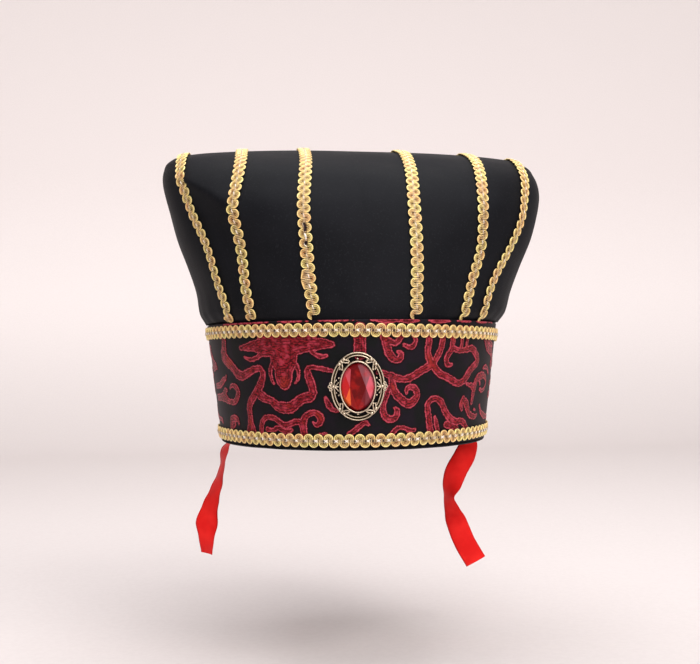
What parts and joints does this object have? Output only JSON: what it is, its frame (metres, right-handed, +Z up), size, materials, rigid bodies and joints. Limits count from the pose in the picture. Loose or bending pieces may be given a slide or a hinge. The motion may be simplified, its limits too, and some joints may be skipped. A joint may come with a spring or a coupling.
{
  "type": "chinese costume hat",
  "caption": "Soft black satin costume hat with a flared brocade headband, scalloped gold braid, an oval red stone brooch and red ribbons hanging from the rim.",
  "frame": {"origin": "centre of the head opening, in the plane of the rim", "axes": "+Z up through the crown, the front with the brooch faces -Y, +X to the right seen from the front"},
  "size_m": [0.252, 0.2209, 0.2877],
  "materials": {
    "black_satin": "black satin with a soft low sheen",
    "red_brocade": "near-black ground with raised crimson silk scrolls",
    "gold_braid": "metallic gold gimp braid with a silvery twisted thread",
    "antique_gold": "worn antique gold plate",
    "red_stone": "faceted foil-backed red stone",
    "red_ribbon": "bright red satin ribbon"
  },
  "bodies": {
    "root": {"crown": "black_satin", "brocade_band": "red_brocade", "rim_binding": "black_satin", "lower_braid": "gold_braid", "upper_braid": "gold_braid", "trim_far_left": "gold_braid", "trim_left": "gold_braid", "trim_mid_left": "gold_braid", "trim_mid_right": "gold_braid", "trim_right": "gold_braid", "trim_far_right": "gold_braid", "brooch_setting": "antique_gold", "brooch_stone": "red_stone", "ribbon_left": "red_ribbon", "ribbon_right": "red_ribbon"}
  },
  "joints": []
}
